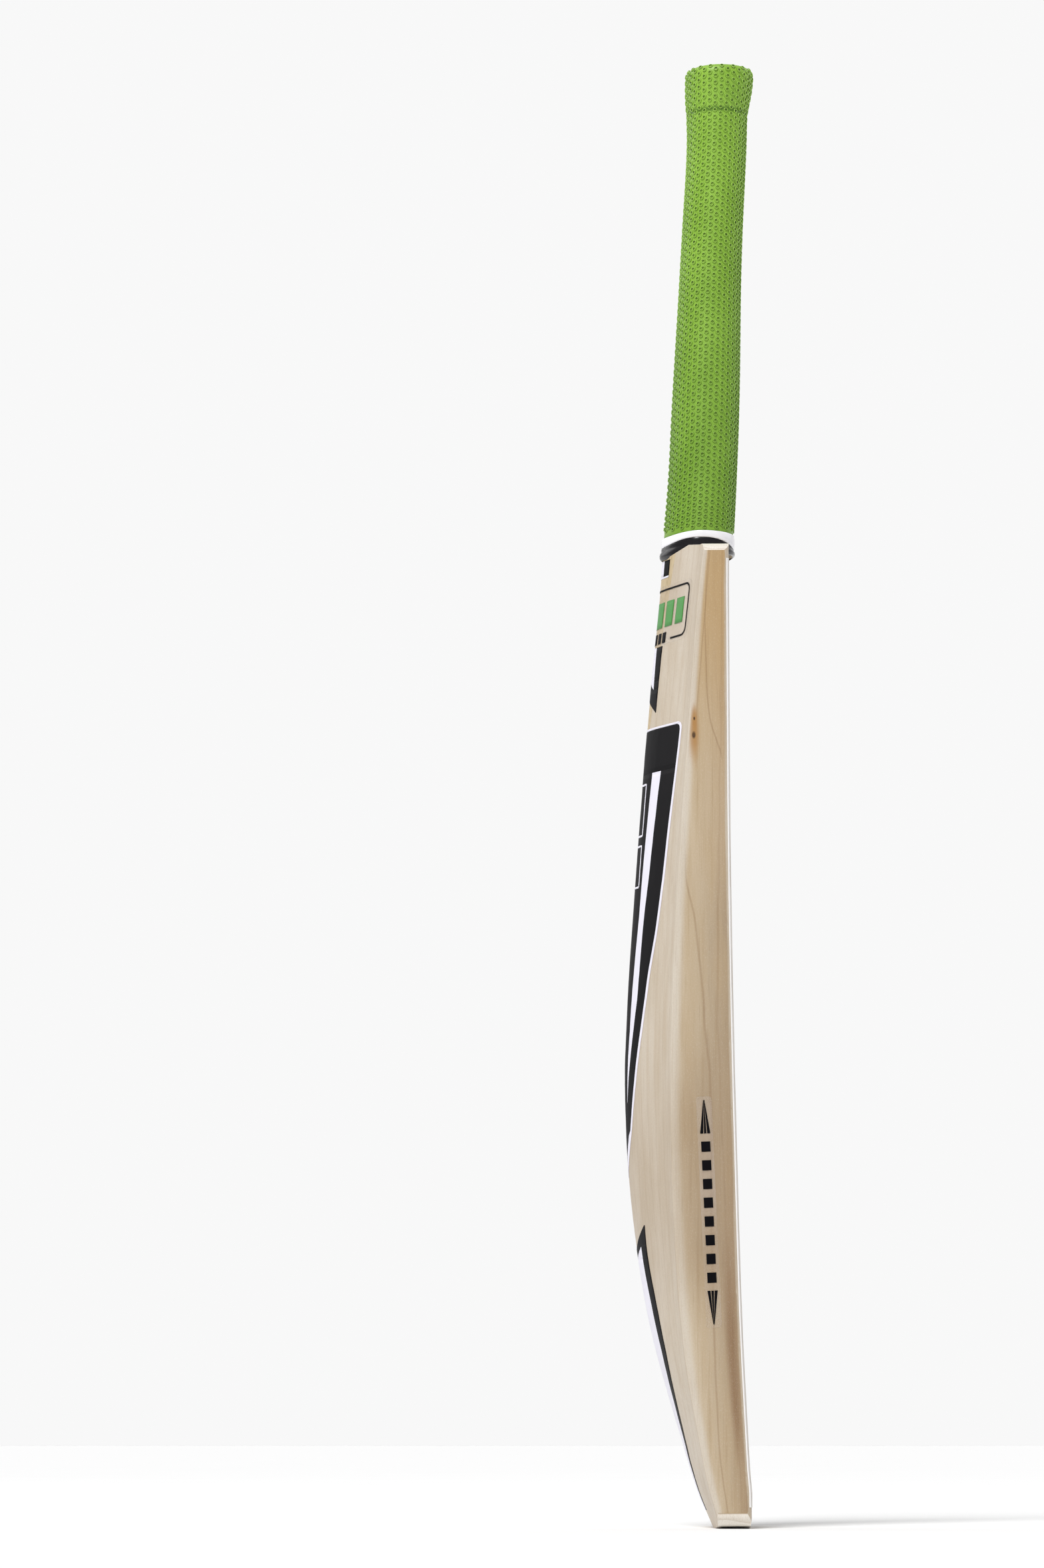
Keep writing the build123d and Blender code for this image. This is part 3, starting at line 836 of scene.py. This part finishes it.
def tag_label():
    """Short black bar with a white middle, running up under the black tape."""
    sheet = Sheet(LABEL_LIFT)
    heights = levels_between(551.0, 560.5, 2.5)
    sheet.both(heights, level(4.8), level(11.4), BLACK)
    sheet.both(heights, level(0.0), level(4.8), WHITE)
    sheet.band([549.9, 551.0], level(-11.4), level(11.4), WHITE)
    sheet.piece("shoulder_tag_sticker", INKS, "black_sticker", LABEL_LIFT,
                ("shoulder_tag_label",))


def frame_label():
    """Clear film with rounded corners, then the frame and plain bars printed on it."""
    low, high, half, radius = 509.5, 545.0, 41.0, 5.0       # film
    frame_low, frame_high, frame_half, bend = 512.3, 542.6, 38.0, 4.5
    foot_gap = 21.5                                         # half of the gap in the frame

    def side(z):
        near = min(z - low, high - z)
        if near >= radius:
            return half
        return half - radius + math.sqrt(max(radius**2 - (radius - near) ** 2, 0.0))

    film = Sheet(LABEL_LIFT)
    heights = [low, low + 0.3, low + 1, low + 2.2, low + 5]
    heights += levels_between(low + 7, high - 7, 3.0)
    heights += [high - 5, high - 2.2, high - 1, high - 0.3, high]
    film.band(heights, lambda z: -side(z), side, 0)
    film.piece("frame_sticker_film", [FILM], "clear_film", LABEL_LIFT, ("frame_label",))

    ink = Sheet(PRINT_LIFT)
    turns = [math.pi / 2 * n / 6 for n in range(7)]
    flank = frame_half - bend
    for s in (-1, 1):
        path = [(0, frame_high)]
        path += [(s * (flank + bend * math.sin(a)), frame_high - bend + bend * math.cos(a))
                 for a in turns]
        path += [(s * (flank + bend * math.cos(a)), frame_low + bend - bend * math.sin(a))
                 for a in turns]
        ink.ribbon(path + [(s * foot_gap, frame_low)], 1.1, BLACK)
    # six wide green bars and six narrow black ones: pitch, left side, right side, heights
    for pitch, left, right, foot, head, shade in (
        (11.6, 1.6, 10.0, 520.0, 535.2, 1), (5.6, 0.8, 4.8, 510.6, 516.8, BLACK),
    ):
        for n in range(-3, 3):
            ink.band(levels_between(foot, head), level(n * pitch + left),
                     level(n * pitch + right), shade)
    ink.piece("frame_sticker_print", [BLACK_INK, GREEN_INK], "black_sticker", 0.05)


def stripe_label():
    """Black bar with a white middle, both cut to a notch at the lower end."""
    sheet = Sheet(LABEL_LIFT)
    tip, notch, half, top = 469.6, 478.0, 13.0, 509.0
    white_foot, white_notch = 484.0, 488.5
    inner = smooth_between([(480.0, 6.9), (509.0, 5.2)])
    cut = between([(tip, half), (notch, 0.0)])
    white_cut = between([(white_foot, 6.6), (white_notch, 0.0)])

    def white_side(z):
        return max(inner(z), white_cut(z))

    low = levels_between(tip, notch, 1.2)
    sheet.both(low, cut, level(half), BLACK)
    middle = levels_between(notch, white_foot)
    sheet.both(middle, level(0.0), level(half), BLACK)
    upper = levels_between(white_foot, white_notch, 1.1)
    sheet.both(upper, white_cut, white_side, WHITE)
    sheet.both(upper, level(0.0), white_cut, BLACK)
    sheet.both(upper, white_side, level(half), BLACK)
    high = levels_between(white_notch, top)
    sheet.both(high, level(0.0), inner, WHITE)
    sheet.both(high, inner, level(half), BLACK)
    sheet.piece("stripe_sticker", INKS, "black_sticker", LABEL_LIFT, ("stripe_label",))


def shield_label():
    """Long black shield with a white keyline and a white stripe each side of the spine."""
    sheet = Sheet(LABEL_LIFT)
    half = smooth_between([
        (194.0, 0.0), (200.0, 0.6), (225.0, 11.0), (256.0, 17.9), (286.0, 23.5),
        (317.0, 28.5), (340.0, 33.5), (370.0, 37.2), (399.0, 39.3), (428.0, 41.8),
        (450.0, 43.5), (470.0, 44.3)])
    foot, top, radius = 200.0, 461.0, 5.0
    stripe_foot, stripe_top = 243.0, 434.0
    key = KEYLINE

    def side(z, inset=0.0):
        width = half(z) - inset
        near = top - inset - z
        if near < radius - inset:
            drop = radius - inset - max(near, 0.0)
            width -= radius - inset - math.sqrt(max((radius - inset) ** 2 - drop**2, 0.0))
        return max(width, 0.0)

    def dark(z):
        """Half width of the black; the keyline runs wider down at the point."""
        return max(side(z, key) - (1.9 if z < 225 else 0.6) * key, 0.0)

    outer = smooth_between([(243.0, 6.0), (273.0, 11.3), (304.0, 16.4), (349.0, 18.3),
                            (372.0, 20.8), (434.0, 25.0)])
    inner = smooth_between([(243.0, 5.9), (273.0, 7.6), (304.0, 9.2), (349.0, 12.3),
                            (372.0, 12.9), (434.0, 15.7)])
    marks = (stripe_foot, stripe_top, 455.5, 456.5, 458.0, 459.0, 459.7)
    everything = levels_between(foot, top, 3.0, marks)
    below = [z for z in everything if z <= stripe_foot]
    striped = [z for z in everything if stripe_foot <= z <= stripe_top]
    above = [z for z in everything if stripe_top <= z <= top - key]
    sheet.both(below, level(0.0), dark, BLACK)
    sheet.both(striped, level(0.0), inner, BLACK)
    sheet.both(striped, inner, outer, WHITE)
    sheet.both(striped, outer, dark, BLACK)
    sheet.both(above, level(0.0), dark, BLACK)
    body = [z for z in everything if z <= top - key]
    sheet.both(body, dark, side, WHITE)
    sheet.band([top - key, top - key / 2, top], lambda z: -side(z), side, WHITE)
    sheet.piece("shield_sticker", INKS, "black_sticker", LABEL_LIFT, ("main_back_label",))

    # plain outlined blocks on the spine
    ink = Sheet(PRINT_LIFT)
    half_block = 9.0
    for low, high in ((398.0, 428.0), (368.0, 392.0)):
        path = [(-half_block, low), (half_block, low), (half_block, high),
                (-half_block, high), (-half_block, low)]
        ink.ribbon(path, 1.2, 0)
    ink.piece("shield_sticker_print", [WHITE_INK], "black_sticker", 0.05)


def toe_label():
    """White panel over the toe in a black border, peaked each side of the spine."""
    sheet = Sheet(LABEL_LIFT)
    half = smooth_between([
        (0.0, 15.6), (9.0, 16.8), (44.0, 20.5), (70.0, 24.3), (100.0, 26.0), (122.0, 24.0),
        (150.0, 19.4), (160.0, 18.8), (172.0, 19.4)])
    border = between([(9.0, 2.4), (45.0, 4.6), (90.0, 7.0), (120.0, 7.8), (152.0, 7.4)])
    foot, white_notch, black_notch, white_top, top = 10.0, 153.0, 158.0, 160.0, 172.0
    notch = between([(black_notch, 0.0), (top, 18.6)])
    white_in = between([(white_notch, 0.0), (white_top, 11.3)])

    def white_out(z):
        return min(half(z) - border(z), 11.4 + max(0.0, (white_top - z) * 0.35))

    def white_from(z):
        return max(white_in(z), notch(z))

    peak = levels_between(white_top, top, 1.5)
    sheet.both(peak, notch, half, BLACK)
    neck = levels_between(black_notch, white_top, 1.0)
    sheet.both(neck, notch, white_from, BLACK)
    sheet.both(neck, white_from, white_out, WHITE)
    sheet.both(neck, white_out, half, BLACK)
    chest = levels_between(white_notch, black_notch, 1.0)
    sheet.both(chest, level(0.0), white_in, BLACK)
    sheet.both(chest, white_in, white_out, WHITE)
    sheet.both(chest, white_out, half, BLACK)
    rest = levels_between(foot, white_notch, 3.0)
    sheet.both(rest, level(0.0), white_out, WHITE)
    sheet.both(rest, white_out, half, BLACK)
    sheet.piece("toe_sticker", INKS, "black_sticker", LABEL_LIFT, ("toe_back_label",))


tag_label()
frame_label()
stripe_label()
shield_label()
toe_label()


# ------------------------------------------------------------------ sticker on the edge
def on_edge(across, along, lift):
    """Point on the edge sticker: across toward the face, along up the bat."""
    tilt, middle_y, middle_z = math.radians(2.4), 12.9, 178.0
    y = middle_y - (across * math.cos(tilt) - along * math.sin(tilt))
    z = middle_z + across * math.sin(tilt) + along * math.cos(tilt)
    return Vector((-(EDGE_X + lift) * MM, y * MM, z * MM))


def edge_label():
    """Narrow clear film with an arrow head at each end and plain blocks between."""
    half_w, half_l, radius = 4.4, 65.5, 1.5
    head_base, head_tip = 44.5, 63.5        # arrow heads, from the middle of the sticker
    block_w, block_h, block_pitch, first_block = 2.6, 2.9, 10.6, 37.0   # halves
    outline = []
    for sx, sz, first in ((1, -1, -90), (1, 1, 0), (-1, 1, 90), (-1, -1, 180)):
        for n in range(5):
            a = math.radians(first + 90 * n / 4)
            outline.append((sx * (half_w - radius) + radius * math.cos(a),
                            sz * (half_l - radius) + radius * math.sin(a)))
    count = len(outline)
    points = [on_edge(a, b, LABEL_LIFT) for a, b in outline]
    points += [on_edge(a, b, 0.08) for a, b in outline]
    faces = [tuple(range(count))[::-1], tuple(range(count, 2 * count))]
    faces += [(n, (n + 1) % count, count + (n + 1) % count, count + n) for n in range(count)]
    film = new_piece("edge_sticker_film", points, faces, [FILM], None,
                     ("edge_label",))
    for polygon in film.data.polygons:
        polygon.use_smooth = False

    shapes = []
    for way in (1, -1):
        base, tip = head_base * way, head_tip * way
        for left, right in ((-2.9, -1.15), (-0.72, 0.72), (1.15, 2.9)):
            shapes.append([(left, base), (right, base), (right * 0.12, tip),
                           (left * 0.12, tip)])
    for n in range(8):
        b = first_block - n * block_pitch
        shapes.append([(-block_w, b - block_h), (block_w, b - block_h),
                       (block_w, b + block_h), (-block_w, b + block_h)])
    points, faces = [], []
    for shape in shapes:
        start = len(points)
        points += [on_edge(a, b, PRINT_LIFT) for a, b in shape]
        points += [on_edge(a, b, LABEL_LIFT + 0.01) for a, b in shape]
        faces.append((start, start + 1, start + 2, start + 3))
        for n in range(4):
            m = (n + 1) % 4
            faces.append((start + n, start + m, start + 4 + m, start + 4 + n))
    ink = new_piece("edge_sticker_print", points, faces, [BLACK_INK], None)
    for polygon in ink.data.polygons:
        polygon.use_smooth = False


edge_label()

# ------------------------------------------------------------------ CAD pieces that stay
for name, node in nodes.items():
    if name == "blade":
        finish = WILLOW
    elif name.startswith("cane"):
        finish = CANE
    elif name.startswith("rubber_spring"):
        finish = SPRING
    elif name.startswith("twine") or name == "shoulder_whipping":
        finish = TWINE
    elif name == "face_facing":
        finish = FACING
    else:
        continue
    node.data.materials.clear()
    node.data.materials.append(finish)


# ------------------------------------------------------------------ floor, light and camera
def floor():
    """Pale matt table top under the bat."""
    half = 200.0                # metres, so that its far side meets the horizon
    mesh = bpy.data.meshes.new("studio_floor")
    corners = [(-half, -half, 0.0), (half, -half, 0.0), (half, half, 0.0), (-half, half, 0.0)]
    mesh.from_pydata(corners, [], [(0, 1, 2, 3)])
    piece = bpy.data.objects.new("studio_floor", mesh)
    bpy.context.scene.collection.objects.link(piece)
    material, tree, shader, place = finish_named("painted_studio_floor")
    mottle = stretched(tree, place, (0.004, 0.004, 0.004))
    tree.links.new(blend(tree, mottle, "#FAFAFA", "#F6F6F6"), shader.inputs["Base Color"])
    shader.inputs["Roughness"].default_value = 0.9
    shader.inputs["Specular IOR Level"].default_value = 0.1
    mesh.materials.append(material)


def soft_sun(name, toward, spread, strength):
    """Large soft source far away, so that the floor is lit evenly."""
    data = bpy.data.lights.new(name, "SUN")
    data.angle, data.energy = math.radians(spread), strength
    lamp = bpy.data.objects.new(name, data)
    lamp.rotation_euler = Vector(toward).to_track_quat("Z", "Y").to_euler()
    bpy.context.scene.collection.objects.link(lamp)


def area_light(name, place, aim, size, watts):
    """Soft box."""
    data = bpy.data.lights.new(name, "AREA")
    data.shape, data.size, data.size_y, data.energy = "RECTANGLE", size[0], size[1], watts
    lamp = bpy.data.objects.new(name, data)
    lamp.location = place
    lamp.rotation_euler = (Vector(aim) - Vector(place)).to_track_quat("-Z", "Y").to_euler()
    bpy.context.scene.collection.objects.link(lamp)


def studio_world():
    """Even pale surround, brightest behind the bat as the camera first sees it."""
    world = bpy.data.worlds.new("studio")
    world.use_nodes = True
    tree = world.node_tree
    direction = axes_of(tree, add(tree, "TexCoord").outputs["Generated"])
    glow = ramp(tree, direction[0], -0.3, 0.9)
    dimmest, gain = 0.20, 0.74
    back = tree.nodes["Background"]
    tree.links.new(math_of(tree, "MULTIPLY_ADD", glow, gain, dimmest),
                   back.inputs["Strength"])
    back.inputs["Color"].default_value = (1, 1, 1, 1)
    bpy.context.scene.world = world


floor()
studio_world()
soft_sun("key_sun", (-0.80, 0.30, 1.0), 20.0, 2.55)
area_light("back_box", (1.2, 2.6, 2.0), (0, 0, 0.4), (1.6, 2.0), 8)
area_light("face_box", (0.6, -2.8, 2.0), (0, 0, 0.4), (1.6, 2.0), 5)
bpy.context.scene.view_settings.view_transform = "Standard"

# Edge-on from the -X side, three metres off, level with the toe and looking up the bat.
camera = bpy.data.objects.new("camera", bpy.data.cameras.new("camera"))
camera.data.sensor_width = 36.0
camera.data.lens = 118.93
camera.data.clip_end = 600.0
camera.location = (-2.9995, 0.0546, 0.047)
camera.rotation_euler = (math.radians(90 + 7.27), 0.0, math.radians(-88.75))
bpy.context.scene.collection.objects.link(camera)
bpy.context.scene.camera = camera
